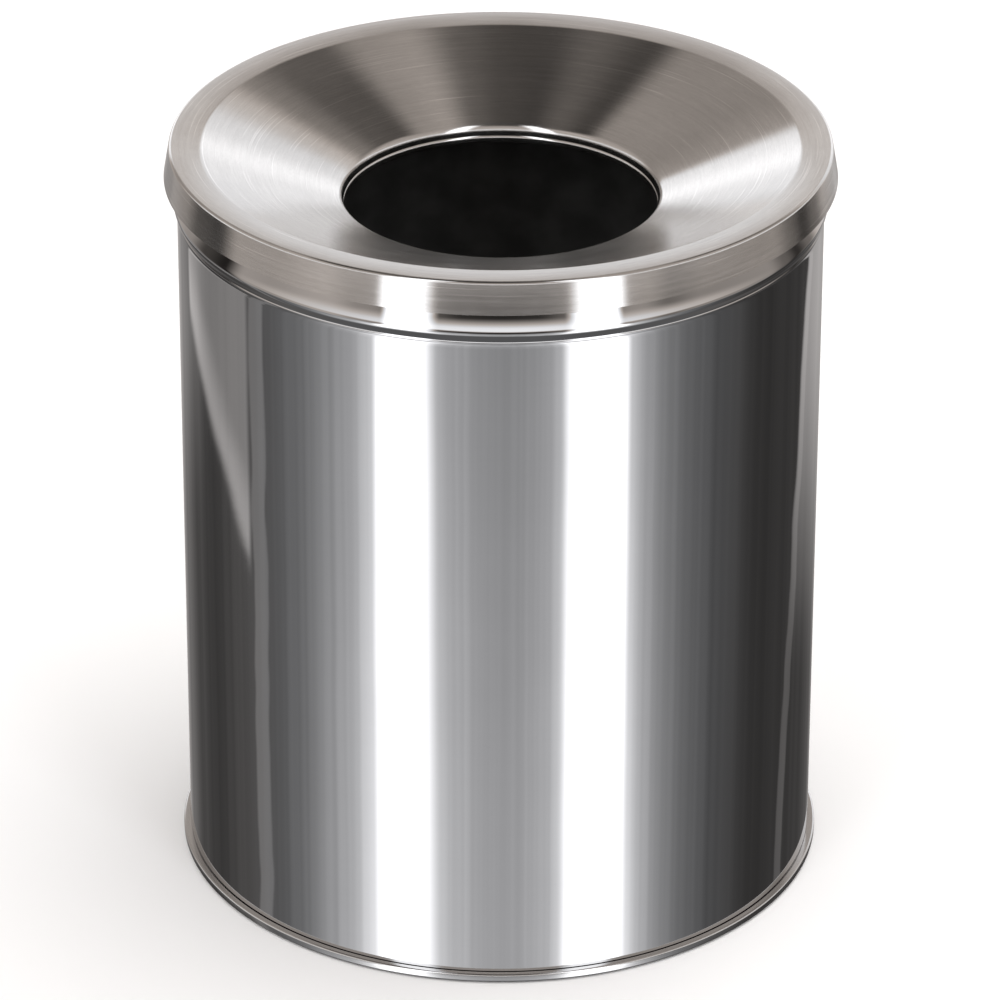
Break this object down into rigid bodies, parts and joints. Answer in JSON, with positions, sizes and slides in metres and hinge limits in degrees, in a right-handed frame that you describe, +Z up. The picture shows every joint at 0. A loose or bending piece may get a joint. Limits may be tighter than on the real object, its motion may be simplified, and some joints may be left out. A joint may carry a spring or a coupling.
{
  "type": "litter bin",
  "caption": "Round sheet steel litter bin with a loose funnel-shaped lid with a central mouth, a swaged body on a seam ring, and a lift-out liner.",
  "frame": {"origin": "on the floor, at the middle of the bin's footprint, on its axis of turning", "axes": "+Z up along the bin's axis; the bin is round, and the liner's finger holes face +X and -X"},
  "size_m": [0.302, 0.302, 0.35],
  "materials": {
    "shell_steel": "polished, fine horizontal grain",
    "lid_steel": "spun, brushed in circles",
    "pan_steel": "polished",
    "wire": "galvanised",
    "rivet": "galvanised",
    "rubber": "matt",
    "black_lacquer": "black, semi-matt"
  },
  "bodies": {
    "bin": {"body_shell": "shell_steel", "shell_rim_wire": "wire", "bottom_pan": "pan_steel", "foot_1": "rubber", "foot_2": "rubber", "foot_3": "rubber", "foot_4": "rubber", "foot_rivets": "rivet"},
    "liner": {"liner_wall": "black_lacquer", "liner_base": "black_lacquer", "liner_rim_wire": "wire"},
    "lid": {"lid_head": "lid_steel", "throat_wire": "wire"}
  },
  "joints": [
    {"name": "liner_lift", "type": "slide", "parent": "bin", "child": "liner", "axis": [0, 0, 1], "range_m": [0, 0.36]},
    {"name": "lid_lift", "type": "slide", "parent": "liner", "child": "lid", "axis": [0, 0, 1], "range_m": [0, 0.15]}
  ]
}
